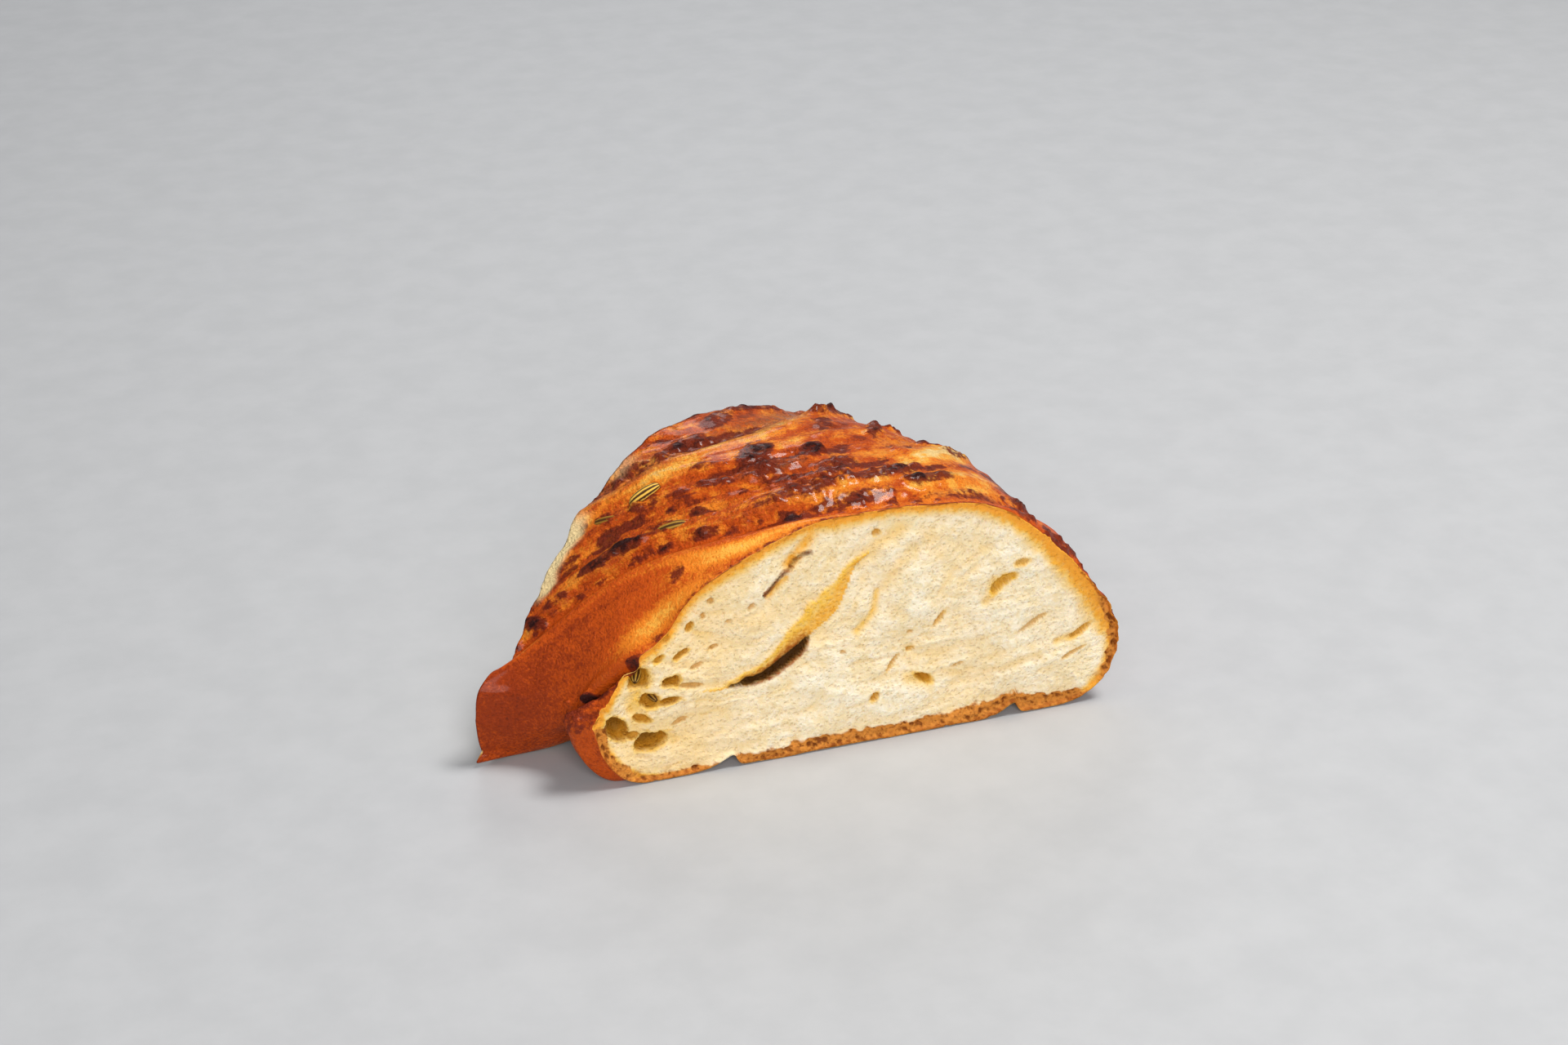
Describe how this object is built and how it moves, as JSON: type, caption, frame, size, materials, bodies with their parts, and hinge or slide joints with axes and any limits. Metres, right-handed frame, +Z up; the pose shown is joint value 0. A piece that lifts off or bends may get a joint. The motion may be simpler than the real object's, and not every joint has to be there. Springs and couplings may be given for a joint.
{
  "type": "cheese kringle slice",
  "caption": "Wedge cut from a twisted ring of baked cheese bread, with a browned domed crust, an open crumb on both cuts, seeds bedded in it and a flat base to rest on.",
  "frame": {"origin": "middle of the area that the slice covers, on the surface it stands on", "axes": "+Z up, +X along the first knife cut from the ring's inner edge to its outer edge, -Y out of the first cut"},
  "size_m": [0.1252, 0.074, 0.0525],
  "materials": {
    "bread": "glossy baked crust, matt crumb",
    "seed": "dry ribbed husk"
  },
  "bodies": {
    "root": {"kringle_slice": "bread", "fennel_seed_1": "seed", "fennel_seed_2": "seed", "fennel_seed_3": "seed", "fennel_seed_4": "seed", "fennel_seed_5": "seed", "fennel_seed_6": "seed"}
  },
  "joints": []
}
